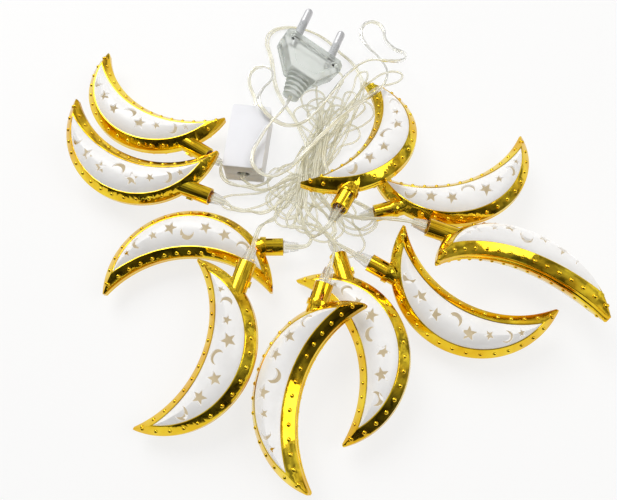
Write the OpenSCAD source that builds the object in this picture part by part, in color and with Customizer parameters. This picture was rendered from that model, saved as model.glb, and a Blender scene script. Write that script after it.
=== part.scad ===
// Moon string lights: ten gold crescent covers on clear lamp holders, a hank of clear wire,
// a small driver box and a two-pin plug, heaped on a flat surface at z = 0.

/* [Moon cover] */
// Distance between the two tips of a cover
moon_chord = 70; // [64:1:76]
// Bulge of the outer edge from the line between the tips
outer_bulge = 38; // [36:0.5:40]
// Bulge of the inner edge from the same line
inner_bulge = 17; // [15:0.5:19]
// Length taken off each sharp tip
tip_cut = 1.4; // [1:0.1:2.4]
// Height of the straight rim of each frame half at the seam
rim_h = 1.4; // [1:0.1:1.8]
// Width of the sloped band in plan
band_w = 3.4; // [3:0.1:3.8]
// Rise of the sloped band above the rim
band_rise = 3.8; // [3.2:0.1:4.4]
// Wall of the gold frame
frame_wall = 1.2; // [1:0.1:1.5]
// Width of the flat lip round the window
lip_w = 0.4; // [0.3:0.1:0.6]

/* [Diffuser] */
// Wall of the white diffuser
diffuser_wall = 1; // [0.8:0.1:1.4]
// Rise of its dome above the window
dome_rise = 3.4; // [2.6:0.1:3.8]
// Gap between the diffuser and its frame
diffuser_clear = 0.1; // [0.05:0.05:0.2]

/* [Neck and lamp holder] */
// Distance of the neck's axis from the line between the tips
neck_offset = 21.5; // [20:0.5:23]
// Reach of the neck's mouth beyond the middle of the cover
neck_reach = 39.5; // [38:0.5:42]
// Outer diameter of the neck
neck_d = 7.6; // [7.2:0.1:8]
// Wall of the neck
neck_wall = 0.8; // [0.6:0.1:1]
// Gap between the neck's bore and the lamp holder
holder_clear = 0.1; // [0.05:0.05:0.2]
// Length of the holder inside the neck
holder_in = 8; // [6:0.5:9]
// Length of the holder's tapered tail outside the neck
holder_tail = 6.5; // [5:0.5:7]
// Diameter of the holder at the end of its tail
tail_d = 3.6; // [3:0.1:4.2]
// Diameter of the light-emitting diode
diode_d = 5; // [4:0.1:5]
// Length of the diode beyond its holder
diode_len = 6; // [5:0.5:6.5]

/* [Driver box] */
// Width of the driver box
box_w = 18; // [17:0.5:19]
// Length of the driver box
box_l = 33; // [31:0.5:35]
// Height of the driver box
box_h = 13; // [12:0.5:14]
// Wall of the driver box
box_wall = 1.4; // [1.2:0.1:1.8]
// Gap between the box's lid and base at their lap joint
lap_clear = 0.1; // [0.05:0.05:0.2]
// Thickness of the circuit board
board_t = 1.2; // [1:0.1:1.6]

/* [Plug] */
// Diameter of a plug pin
pin_d = 4; // [3.8:0.1:4.8]
// Distance between the axes of the pins
pin_pitch = 19; // [18:0.5:20]
// Length of a pin outside the plug
pin_len = 19; // [17:0.5:20]
// Length of the insulating sleeve on a pin
sleeve_len = 10; // [8:0.5:11]
// Wall of that sleeve
sleeve_wall = 0.4; // [0.3:0.1:0.6]
// Width of the plug's body at the pins
plug_w = 31; // [29:0.5:33]
// Thickness of the plug's body
plug_t = 11; // [10:0.5:12]
// Length of the plug's body
plug_l = 18; // [17:0.5:20]
// Width of the plug's body at the lead
plug_tail_w = 13; // [12:0.5:15]
// Length of the ribbed strain relief
relief_l = 11; // [10:0.5:12]
// Number of ribs on the strain relief
relief_ribs = 4; // [3:1:5]

/* [Wires] */
// Diameter of the mains lead
lead_d = 2; // [2:0.1:2.6]
// Diameter of a string wire
wire_d = 1; // [1:0.1:1.3]
// Number of loops in the hank
hank_loops = 12; // [8:4:12]
// Length of the hank
hank_len = 78; // [74:1:80]
// Width of the hank at its waist
hank_waist = 14; // [13:0.5:15]
// Gap between two neighbouring runs in the hank
run_gap = 0.65; // [0.6:0.05:0.8]

/* [Hidden] */
$fn = 48;
round_fn = 96;
MOONS = 10;
OUTER = -1;
INNER = 1;

// Radius of an arc of a given bulge over the tip line
function arc_r(bulge) = (pow(moon_chord / 2, 2) + pow(bulge, 2)) / (2 * bulge);
outer_r = arc_r(outer_bulge);
outer_y = outer_r - outer_bulge;
inner_r = arc_r(inner_bulge);
inner_y = inner_r - inner_bulge;
mid_bulge = (outer_bulge + inner_bulge) / 2;
mid_r = arc_r(mid_bulge);
mid_y = mid_r - mid_bulge;
half_w = (outer_bulge - inner_bulge) / 2;
window_z = rim_h + band_rise;
window_in = band_w + lip_w;

// Diffuser: a skirt behind the band and a dome through the window
seam_lift = 0.2;
skirt_rim = frame_wall + diffuser_clear;
skirt_top = window_in + diffuser_clear;
dome_half = half_w - skirt_top;
dome_r = (pow(dome_half, 2) + pow(dome_rise, 2)) / (2 * dome_rise);
dome_z = window_z + dome_rise;

// Neck, lamp holder and diode on one axis
neck_bore = neck_d - 2 * neck_wall;
holder_d = neck_bore - 2 * holder_clear;
collar_l = 2.4;
collar_rise = 0.7;
slot_l = 2.8;
slot_w = 1.4;
slot_turn = 42;
function edge_x(offset) = sqrt(pow(outer_r, 2) - pow(offset + outer_y, 2));
neck_root = edge_x(neck_offset + neck_d / 2) - frame_wall;
collar_x = edge_x(neck_offset);
skirt_hole_d = neck_bore + 1;

// Cut-outs along the diffuser: turn from its middle, size, kind, own turn, shift towards the outer edge
STAR = 0;
CRESCENT = 1;
MOTIFS = [
    [-39, 5.2, CRESCENT, 85, 0.2], [-25, 6.2, STAR, 0, 0.4], [-11.5, 6, STAR, 20, 1],
    [0.5, 5.8, CRESCENT, -135, -1.8], [11.5, 6.6, STAR, 10, 1], [23.5, 4.4, STAR, 30, 0],
    [34.5, 4.8, CRESCENT, 127, 0.4], [44, 3.6, STAR, 0, 0]
];

// Shift that puts the middle of all covers over the origin
HEAP = [-4.5, 0, 0];

// Place of each cover: x, y, z of the middle of its tip line, heading, pitch, roll, 1 if turned over
PLACES = [
    [-68, 82, 9, 328, 1, -1, 0], [-72, 54, 18, 339, 3, 10, 0],
    [-50, -24, 7.5, 181, -1, 4, 1], [-57, -43, 11, 72, -7, -8, 0],
    [12, -66.5, 24, 252, 8, -27, 1], [3, -49.5, 5, 105, 4, -17, 0],
    [70, -13, 17, 330, 4, -13, 1], [82, -28, 26, 163, -7, 28, 0],
    [63, 44, 8, 13, -5, 8, 1], [11, 53, 13.5, 63, 10, 9, 1]
];

// Driver box: two halves that lap at the seam, a board on two ribs
BOX_AT = [-28, 51, 0];
BOX_TURN = -6;
box_round = 1.2;
seam_z = box_h / 2;
lap_l = 1.2;
lap_wall = 0.6;
board_z = seam_z - board_t / 2;
board_side = 0.5;
board_w = box_w - 2 * (box_wall + lap_clear + lap_wall + board_side);
board_l = box_l - 2 * (box_wall + lap_clear + lap_wall + board_side);
rib_t = 1.2;
lead_hole_d = lead_d + 0.8;
slot_hole_h = 3.4;
slot_hole_w = 5.8;

// Plug: origin in the middle of its pin face, pins along +Y
PLUG_AT = [2, 98, 15];
PLUG_TURN = -21;
PLUG_ROLL = 26;
pin_core_d = pin_d - 2 * sleeve_wall;
pin_root = 6;
plug_chamfer = 2;
relief_h = 6.5;
relief_core = 0.72;

// Turning and placing of points, as rotate and translate do with solids
function turn_x(v, a) = [v[0], v[1] * cos(a) - v[2] * sin(a), v[1] * sin(a) + v[2] * cos(a)];
function turn_y(v, a) = [v[0] * cos(a) + v[2] * sin(a), v[1], v[2] * cos(a) - v[0] * sin(a)];
function turn_z(v, a) = [v[0] * cos(a) - v[1] * sin(a), v[0] * sin(a) + v[1] * cos(a), v[2]];
function moon_turn(p, v) = turn_z(turn_y(turn_x(v, p[5]), p[4] + 180 * p[6]), p[3]);
function tail_end(i) = let (p = PLACES[i - 1])
    [p[0], p[1], p[2]] + moon_turn(p, [neck_reach + holder_tail, -neck_offset, 0]);
function tail_way(i) = moon_turn(PLACES[i - 1], [1, 0, 0]);

// A smooth curve through route points
function curve(q, i, t) = let (a = q[max(i - 1, 0)], b = q[i], c = q[i + 1], d = q[min(i + 2, len(q) - 1)])
    (2 * b + (c - a) * t + (2 * a - 5 * b + 4 * c - d) * pow(t, 2)
    + (3 * b - a - 3 * c + d) * pow(t, 3)) / 2;
function smooth(q, steps) = concat([for (i = [0 : len(q) - 2]) for (k = [0 : steps - 1])
    curve(q, i, k / steps)], [q[len(q) - 1]]);

// Routes of the wires, above the same ground as the places
DROPS = [
    [[-39.9, 36, 8.4], [-38.3, 32.2, 8], [-33.5, 28.6, 8], [-27, 27, 8]],
    [[-32, 15.5, 11], [-26, 15, 9]],
    [[-0.5, -0.5, 8.2], [0.8, 3.5, 8], [-3, 7.5, 8]],
    [[-20.5, 1, 19], [-18, 7, 14.5], [-15.5, 11, 10]],
    [[10.5, -9, 20.5], [9.5, -3, 17.5], [6, 3, 13.5], [1.5, 8, 10]],
    [[11, 6, 8], [8.5, 12, 8], [4.5, 18, 8]],
    [[13.5, -4.5, 15.5], [9, 1, 13.5], [4.5, 8, 10.5]],
    [[36, 6, 21], [29, 8, 16.5], [22, 9.5, 12.5], [14, 13, 10], [7, 21, 8.8]],
    [[18.5, 13.2, 7.4], [15, 16.5, 7.7], [12.5, 23, 7.8], [9.5, 33, 7.8]],
    [[6.5, -1, 24], [3, -1.5, 20], [-1, 3, 15], [-3, 9, 11.5], [-3, 14, 9.4]]
];
// Ring of the hank, counted from its end, on which each of them comes to lie
LANDINGS = [3, 5, 7, 30, 8, 10, 9, 11, 12, 56];
MAINS = [
    [-12, 62, 17], [-17, 55, 17.5], [-22, 47, 16], [-25, 40, 15], [-23.5, 33, 15], [-17.5, 30, 13.5],
    [-11, 33.5, 11], [-3, 43, 9], [8, 56, 9], [18, 65, 11], [27, 69, 16], [34, 73, 20], [36.5, 80, 20],
    [34, 91, 17], [29, 102, 13], [26.2, 109, 12], [26.6, 114.2, 12], [29.8, 117.8, 12],
    [34.4, 117.4, 12], [37.2, 113.4, 12], [37.8, 107, 12.5],
    [41, 98, 16], [45.5, 91, 20], [43, 85, 23], [36, 84, 24], [28, 86, 22], [19, 83, 17], [12, 76, 13],
    [4, 66, 11], [-3, 59.5, 10.5], [-10, 57.5, 11.5], [-15.5, 58.5, 14], [-20, 62, 16], [-23, 68, 16],
    [-21.5, 76, 14], [-18, 82.5, 12], [-17.4, 87.8, 10.5], [-19.6, 91.8, 9.5],
    [-23.6, 93.4, 8.5], [-27.4, 91.4, 8], [-29, 86.4, 7.5]
];
BOX_OUT = [[-28.5, 31.5, 6], [-25, 29.5, 5], [-20, 31, 4], [-16, 35.5, 2.8], [-11, 41.5, 1.6]];

// Hank: loops that wind inwards and outwards in layers, drawn in at the waist
HANK_AT = [3, 44, 0];
HANK_TURN = 62;
hank_bend = 2;
hank_layers = 4;
hank_fan = 18;
end_step = 4;
ring_turn = 15;
wire_step = wire_d + run_gap;
layer_loops = hank_loops / hank_layers;
hank_rings = hank_loops * 360 / ring_turn;
function clamp(x) = min(1, max(0, x));
function wound(s) = s / 360 / layer_loops;
function loops_in(s) = let (q = wound(s), f = q - floor(q))
    layer_loops * (floor(q) % 2 == 0 ? f : 1 - f);
function layer_at(s) = let (l = min(hank_layers - 1, max(1, round(wound(s)))))
    l - 1 + clamp((wound(s) - l) * layer_loops * 2 + 0.5);
function hank_point(s) = let (
    inner = loops_in(s),
    u = (hank_len / 2 - end_step * inner) * cos(90 - s),
    far = pow(2 * u / hank_len, 2),
    v = sin(90 - s) * (hank_waist / 2 - wire_step * inner + hank_fan * far) + hank_bend * (1 - far))
    HANK_AT + turn_z([u, v, wire_d * 0.7 + wire_step * layer_at(s)], HANK_TURN);
HANK = [for (k = [0 : hank_rings]) hank_point(k * ring_turn)];
rest_gap = 0.05;
function landing(i) = HANK[hank_rings - LANDINGS[i - 1]] + [0, 0, wire_d + rest_gap];
function to_run(p, a, b) = norm(p - a - (b - a) * clamp((p - a) * (b - a) / ((b - a) * (b - a))));

function two(i) = i < 10 ? str("0", i) : str(i);
MOON_NODES = [for (i = [1 : MOONS]) for (part = ["front_frame_", "back_frame_", "front_diffuser_",
    "back_diffuser_"]) str(part, two(i))];

module at_moon(i) {
    p = PLACES[i - 1];
    translate(HEAP + [p[0], p[1], p[2]]) rotate([p[5], p[4] + 180 * p[6], p[3]]) children();
}

// A solid turned about an edge's centre: inset by a at the rim and by b at the window
module edge_cone(side, a, b, low, high) {
    r = side == OUTER ? outer_r : inner_r;
    translate([0, side == OUTER ? outer_y : inner_y, 0]) rotate_extrude($fn = round_fn)
        polygon(concat(
            [[0, low], [r + side * a, low], [r + side * a, rim_h], [r + side * b, window_z]],
            high > window_z ? [[r + side * b, high]] : [], [[0, high]]));
}

// The crescent between the two edges, with sloped sides
module crescent(a, b, low, high) {
    difference() {
        edge_cone(OUTER, a, b, low, high);
        edge_cone(INNER, a, b, low - 1, high + 1);
    }
}

module along_neck(x, d, len) {
    translate([x, -neck_offset, 0]) rotate([0, 90, 0]) cylinder(d = d, h = len);
}

module upper_half() {
    intersection() {
        children();
        translate([0, -moon_chord / 2, moon_chord]) cube(2 * moon_chord, center = true);
    }
}

// One gold frame half, its face towards +Z; the slotted one has a collar and two slots
module frame_half(slotted) {
    difference() {
        union() {
            crescent(0, band_w, 0, window_z);
            upper_half() along_neck(neck_root, neck_d, neck_reach - neck_root);
            if (slotted) upper_half() along_neck(collar_x, neck_d + 2 * collar_rise, collar_l);
        }
        crescent(frame_wall, window_in, -1, window_z + 1);
        along_neck(neck_root - neck_d, neck_bore, neck_reach);
        if (slotted) for (turn = [-slot_turn, slot_turn])
            translate([collar_x + collar_l, -neck_offset, 0]) rotate([turn, 0, 0])
                translate([0, -slot_w / 2, neck_bore / 4]) cube([slot_l, slot_w, neck_d]);
        translate([-moon_chord, -tip_cut, -moon_chord]) cube(2 * moon_chord);
    }
}

// What lies under the dome as seen from one edge, grown inwards by shrink
module under_dome(side, shrink, low) {
    r = side == OUTER ? outer_r : inner_r;
    r_mid = r + side * half_w;
    far = r + INNER * 3 * outer_bulge;
    translate([0, side == OUTER ? outer_y : inner_y, 0]) rotate_extrude($fn = round_fn) {
        translate([side == OUTER ? 0 : r, low])
            square([side == OUTER ? r : far - r, window_z - shrink - low]);
        translate([side == OUTER ? 0 : r_mid, low])
            square([side == OUTER ? r_mid : far - r_mid, dome_z - shrink - low]);
        translate([r_mid, dome_z - dome_r]) circle(dome_r - shrink);
    }
}

module dome_solid(grow, shrink, low) {
    intersection() {
        crescent(skirt_rim + grow, skirt_top + grow, low, dome_z + 1);
        under_dome(OUTER, shrink, -dome_z);
        under_dome(INNER, shrink, -dome_z);
    }
}

module star(d) {
    polygon([for (k = [0 : 9]) (k % 2 == 0 ? d / 2 : d / 4.6) * [sin(36 * k), cos(36 * k)]]);
}

module little_crescent(d) {
    difference() {
        circle(d = d);
        translate([d * 0.22, d * 0.12]) circle(d = d * 0.86);
    }
}

// The white diffuser moulding, used alike in both faces
module diffuser() {
    difference() {
        dome_solid(0, 0, seam_lift);
        dome_solid(diffuser_wall, diffuser_wall, -1);
        for (side = [0, 1]) mirror([side, 0, 0])
            along_neck(neck_root - neck_d, skirt_hole_d, neck_reach);
        for (m = MOTIFS) let (r = mid_r + m[4])
            translate([r * sin(m[0]), mid_y - r * cos(m[0]), window_z - 1])
                linear_extrude(dome_rise + 2) rotate(m[0] + m[3])
                    if (m[2] == STAR) star(m[1]);
                    else little_crescent(m[1]);
    }
}

module front_frame(i) { color("gold") at_moon(i) frame_half(false); }
module back_frame(i) { color("goldenrod") at_moon(i) mirror([0, 0, 1]) frame_half(true); }
module front_diffuser(i) { color("white") at_moon(i) diffuser(); }
module back_diffuser(i) { color("whitesmoke") at_moon(i) rotate([0, 180, 0]) diffuser(); }

module led_holders() {
    color("gainsboro") for (i = [1 : MOONS]) at_moon(i) {
        along_neck(neck_reach - holder_in, holder_d, holder_in);
        translate([neck_reach, -neck_offset, 0]) rotate([0, 90, 0])
            cylinder(d1 = holder_d, d2 = tail_d, h = holder_tail);
    }
}

module led_diodes() {
    tip_x = neck_reach - holder_in - diode_len;
    color("ivory") for (i = [1 : MOONS]) at_moon(i) {
        along_neck(tip_x + diode_d / 2, diode_d, diode_len - diode_d / 2);
        translate([tip_x + diode_d / 2, -neck_offset, 0]) sphere(d = diode_d);
    }
}

module box_plan(inset) {
    w = box_w - 2 * inset;
    l = box_l - 2 * inset;
    r = max(box_round - inset, 0.2);
    square([w - 2 * r, l], center = true);
    square([w, l - 2 * r], center = true);
    for (x = [-1, 1], y = [-1, 1]) translate([x * (w / 2 - r), y * (l / 2 - r)]) circle(r);
}

module box_place() { translate(HEAP + BOX_AT) rotate(BOX_TURN) children(); }

// Way in for the mains lead at one end, oval slot for the string wire at the other
module box_ways() {
    translate([0, box_l / 2, seam_z]) rotate([90, 0, 0])
        cylinder(d = lead_hole_d, h = 4 * box_wall, center = true);
    translate([0, -box_l / 2, seam_z]) {
        cube([slot_hole_w - slot_hole_h, 4 * box_wall, slot_hole_h], center = true);
        for (side = [-1, 1]) translate([side * (slot_hole_w - slot_hole_h) / 2, 0, 0]) rotate([90, 0, 0])
            cylinder(d = slot_hole_h, h = 4 * box_wall, center = true);
    }
}

module box_base() {
    color("white") box_place() {
        difference() {
            linear_extrude(seam_z) box_plan(0);
            translate([0, 0, box_wall]) linear_extrude(seam_z) box_plan(box_wall);
            box_ways();
        }
        for (y = [-board_l / 4, board_l / 4])
            translate([-board_w / 2, y - rib_t / 2, box_wall]) cube([board_w, rib_t, board_z - box_wall]);
    }
}

module box_lid() {
    color("snow") box_place() difference() {
        union() {
            translate([0, 0, seam_z]) linear_extrude(box_h - seam_z) box_plan(0);
            translate([0, 0, seam_z - lap_l]) linear_extrude(lap_l + 1) box_plan(box_wall + lap_clear);
        }
        translate([0, 0, seam_z - box_h]) linear_extrude(seam_z - box_wall + box_h / 2 + seam_z)
            box_plan(box_wall + lap_clear + lap_wall);
        box_ways();
    }
}

module circuit_board() {
    color("seagreen") box_place() translate([-board_w / 2, -board_l / 2, board_z])
        cube([board_w, board_l, board_t]);
}

// Capacitor, coil, chip and resistor standing on the board
module board_parts() {
    color("dimgray") box_place() translate([0, 0, board_z + board_t]) {
        translate([-2.5, -8, 0]) cylinder(d = 5, h = 3.8);
        translate([2.5, -2, 0]) cylinder(d = 4.4, h = 3);
        translate([-4, 3, 0]) cube([5, 4, 1.6]);
        translate([2, 5, 0]) cube([2, 6, 1.6]);
    }
}

module plug_place() {
    translate(HEAP + PLUG_AT) rotate([0, PLUG_ROLL, PLUG_TURN]) children();
}

module at_pins() {
    for (x = [-pin_pitch / 2, pin_pitch / 2]) translate([x, 0, 0]) rotate([-90, 0, 0]) children();
}

// Tapered body, chamfered along its top and bottom edges
module plug_body() {
    c = plug_chamfer;
    color("lightgray") plug_place() difference() {
        intersection() {
            translate([0, 0, -plug_t / 2]) linear_extrude(plug_t) polygon([
                [plug_w / 2 - c, 0], [plug_w / 2, -c], [plug_w / 2, -plug_l / 3],
                [plug_tail_w / 2, -plug_l], [-plug_tail_w / 2, -plug_l], [-plug_w / 2, -plug_l / 3],
                [-plug_w / 2, -c], [c - plug_w / 2, 0]]);
            rotate([90, 0, 0]) linear_extrude(plug_l) polygon([
                [plug_w / 2 - c, -plug_t / 2], [plug_w / 2, c - plug_t / 2], [plug_w / 2, plug_t / 2 - c],
                [plug_w / 2 - c, plug_t / 2], [c - plug_w / 2, plug_t / 2], [-plug_w / 2, plug_t / 2 - c],
                [-plug_w / 2, c - plug_t / 2], [c - plug_w / 2, -plug_t / 2]]);
        }
        at_pins() translate([0, 0, -pin_root]) cylinder(d = pin_core_d, h = 2 * pin_root);
    }
}

module plug_pins() {
    color("silver") plug_place() at_pins() {
        translate([0, 0, -pin_root]) cylinder(d = pin_core_d, h = pin_root + sleeve_len);
        translate([0, 0, sleeve_len]) cylinder(d = pin_d, h = pin_len - sleeve_len - pin_d / 2);
        translate([0, 0, pin_len - pin_d / 2]) sphere(d = pin_d);
    }
}

module pin_sleeves() {
    color("white") plug_place() at_pins() difference() {
        cylinder(d = pin_d, h = sleeve_len);
        translate([0, 0, -1]) cylinder(d = pin_core_d, h = sleeve_len + 2);
    }
}

// One flat rib of the strain relief
module relief_slice(w, t) {
    rotate([90, 0, 0]) linear_extrude(t) {
        square([w - relief_h, relief_h], center = true);
        for (x = [-1, 1]) translate([x * (w - relief_h) / 2, 0]) circle(d = relief_h);
    }
}

module plug_relief() {
    pitch = relief_l / (relief_ribs + 0.5);
    color("gainsboro") plug_place() translate([0, -plug_l, 0]) {
        for (k = [0 : relief_ribs]) translate([0, -k * pitch, 0])
            relief_slice(plug_tail_w - 1 - 4 * k / relief_ribs, pitch / 2);
        rotate([90, 0, 0]) cylinder(d = relief_h * relief_core, h = relief_l);
    }
}

// A round wire along a path, closed by flat ends
module wire(path, d, sides) {
    last = len(path) - 1;
    points = [for (i = [0 : last]) let (
        way = path[min(i + 1, last)] - path[max(i - 1, 0)],
        across = cross([0, 0, 1], way) / norm(cross([0, 0, 1], way)),
        over = cross(way, across) / norm(way))
        for (k = [0 : sides - 1])
            HEAP + path[i] + d / 2 * (cos(360 * k / sides) * across + sin(360 * k / sides) * over)];
    skin = [for (i = [0 : last - 1]) for (k = [0 : sides - 1]) let (
        a = i * sides + k, b = i * sides + (k + 1) % sides)
        each [[a, a + sides, b], [b, a + sides, b + sides]]];
    caps = [for (k = [1 : sides - 2]) each [[0, k, k + 1],
        [last * sides, last * sides + k + 1, last * sides + k]]];
    polyhedron(points, concat(skin, caps));
}

// The lead from the strain relief to the board in the box
module mains_lead() {
    back = turn_z([0, -1, 0], PLUG_TURN);
    start = PLUG_AT + (plug_l + relief_l) * back;
    inwards = turn_z([0, -1, 0], BOX_TURN);
    stop = BOX_AT + [0, 0, seam_z] - board_l / 2 * inwards;
    color("lavender") wire(smooth(concat([start, start + lead_d * back / 2, start + lead_d * back], MAINS,
        [stop - 9 * inwards, stop - 6 * inwards, stop - 3 * inwards, stop]), 2), lead_d, 8);
}

// The lead from the board to the first run of the hank
module box_lead() {
    out = turn_z([0, -1, 0], BOX_TURN);
    start = BOX_AT + [0, 0, seam_z] + board_l / 2 * out;
    first = (HANK[1] - HANK[0]) / norm(HANK[1] - HANK[0]);
    color("lavender") wire(smooth(concat([start, start + 2 * out, start + 5 * out], BOX_OUT,
        [HANK[0] - 3 * wire_d * first, HANK[0] - wire_d * first, HANK[0]]), 3), wire_d, 8);
}

module string_hank() {
    gaps = [for (i = [0 : hank_rings - 6]) for (j = [i + 5 : hank_rings - 1])
        to_run(HANK[i], HANK[j], HANK[j + 1])];
    echo(least_gap_in_hank = min(gaps) - wire_d);
    color("lavender") wire(HANK, wire_d, 6);
}

module drop_wires(from, to) {
    color("lavender") for (i = [from : to])
        wire(smooth(concat([for (k = [0 : 2]) tail_end(i) + 0.6 * k * wire_d * tail_way(i)], DROPS[i - 1],
            [landing(i)]), 2), wire_d, 8);
}

module drop_wires_left() { drop_wires(1, 4); }
module drop_wires_front() { drop_wires(5, 6); }
module drop_wires_right() { drop_wires(7, 10); }

for (i = [1 : MOONS]) {
    front_frame(i);
    back_frame(i);
    front_diffuser(i);
    back_diffuser(i);
}
led_holders();
led_diodes();
plug_body();
plug_pins();
pin_sleeves();
plug_relief();
box_base();
box_lid();
circuit_board();
board_parts();
mains_lead();
box_lead();
string_hank();
drop_wires_left();
drop_wires_front();
drop_wires_right();
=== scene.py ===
"""Looks of a string of gold crescent lights that lies in a heap on a pale table."""

import logging
import math
import random
from dataclasses import dataclass, field
from enum import Enum

import bmesh
import bpy
from mathutils import Euler, Matrix, Vector


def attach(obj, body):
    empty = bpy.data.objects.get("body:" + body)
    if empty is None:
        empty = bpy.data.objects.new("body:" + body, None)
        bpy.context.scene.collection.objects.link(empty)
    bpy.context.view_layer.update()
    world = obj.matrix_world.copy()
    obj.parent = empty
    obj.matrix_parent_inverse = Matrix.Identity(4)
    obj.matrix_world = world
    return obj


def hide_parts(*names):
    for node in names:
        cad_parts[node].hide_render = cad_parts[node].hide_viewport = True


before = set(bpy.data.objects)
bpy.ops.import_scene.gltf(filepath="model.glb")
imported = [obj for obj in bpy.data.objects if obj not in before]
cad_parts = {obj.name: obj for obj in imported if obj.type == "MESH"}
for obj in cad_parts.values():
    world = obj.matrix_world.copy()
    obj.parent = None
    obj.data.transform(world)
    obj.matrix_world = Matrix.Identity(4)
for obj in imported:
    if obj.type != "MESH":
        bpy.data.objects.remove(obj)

LOG = logging.getLogger("moon_lights")
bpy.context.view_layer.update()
MM = 0.001
STRING = "string"
Point = tuple[float, float, float]
Colour = tuple[float, float, float]
Span = tuple[float, float]

# Shift that centres the heap in the shared frame
HEAP = Vector((-4.5, 0, 0))
# Distance of a neck's axis from the line between its cover's tips
NECK_OFFSET = 21.5
# The plug's place in the heap and its turn in plan
PLUG_PLACE: Point = (2, 98, 15)
PLUG_TURN = -21
# Edges that turn further than this look sharp
SHADE_ANGLE = math.radians(38)
# Edges that turn further than this are eased
EASED_ANGLE = math.radians(40)
# Points nearer than this, and faces flatter than this, are joined before edges are eased
WELD_GAP = 0.002 * MM
FLAT_ANGLE = math.radians(0.5)


def row(point: Point | Vector) -> Vector:
    """A point of the heap in millimetres as a place in the shared frame in metres.

    Args:
        point: The point in millimetres, before the heap is centred.

    Returns:
        The same place in metres.
    """
    return (Vector(point) + HEAP) * MM


def ahead(turn: float) -> Vector:
    """The direction that a piece's tail points in.

    Args:
        turn: The piece's turn in plan, in degrees.

    Returns:
        A unit vector in plan.
    """
    a = math.radians(turn)
    return Vector((math.sin(a), -math.cos(a), 0))


def put(name: str, data: bpy.types.ID) -> bpy.types.Object:
    """Puts a mesh, a curve, a light or a camera in the scene.

    Args:
        name: The object's name.
        data: What it shows.

    Returns:
        The new object.
    """
    made = bpy.data.objects.new(name, data)
    bpy.context.scene.collection.objects.link(made)
    return made


class Tree:
    """The nodes of one material, group or world, with short ways to add and join them."""

    def __init__(self, tree: bpy.types.NodeTree) -> None:
        """Keeps the tree that the other methods fill."""
        self.tree = tree

    def add(self, kind: str, **values: object) -> bpy.types.Node:
        """Adds a node.

        Args:
            kind: The node's type name.
            **values: Socket values, by the socket's name with _ for a space.

        Returns:
            The new node.
        """
        node = self.tree.nodes.new(kind)
        self.fill(node, **values)
        return node

    @staticmethod
    def fill(node: bpy.types.Node, **values: object) -> None:
        """Sets a node's inputs.

        Args:
            node: The node.
            **values: Socket values, named as for a new node.
        """
        for name, value in values.items():
            node.inputs[name.replace("_", " ")].default_value = value

    def maths(self, operation: str, *values: float | bpy.types.NodeSocket) -> bpy.types.NodeSocket:
        """Adds a Math node.

        Args:
            operation: What it works out.
            *values: Its inputs, each a number or an output to join.

        Returns:
            Its result.
        """
        node = self.tree.nodes.new("ShaderNodeMath")
        node.operation = operation
        for socket, value in zip(node.inputs, values):
            if isinstance(value, bpy.types.NodeSocket):
                self.join(value, socket)
            else:
                socket.default_value = value
        return node.outputs["Value"]

    def blend(self, factor: bpy.types.NodeSocket, first: bpy.types.NodeSocket,
              second: Colour | bpy.types.NodeSocket) -> bpy.types.NodeSocket:
        """Adds a Mix node for two colours.

        Args:
            factor: The share of the second colour.
            first: The first colour.
            second: The second colour, a fixed one or an output to join.

        Returns:
            The mixed colour.
        """
        node = self.tree.nodes.new("ShaderNodeMix")
        node.data_type = "RGBA"
        share, start, end = node.inputs[0], node.inputs[6], node.inputs[7]
        self.join(factor, share)
        self.join(first, start)
        if isinstance(second, bpy.types.NodeSocket):
            self.join(second, end)
        else:
            end.default_value = (*second, 1)
        return node.outputs[2]

    def join(self, start: bpy.types.NodeSocket, end: bpy.types.NodeSocket) -> None:
        """Joins two nodes.

        Args:
            start: The output of one.
            end: The input of the other.
        """
        self.tree.links.new(start, end)


class Effect(Enum):
    """Effects that several finishes share, each a node group."""

    MOTTLE = "Mottle"
    GRAIN = "Grain"


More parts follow.
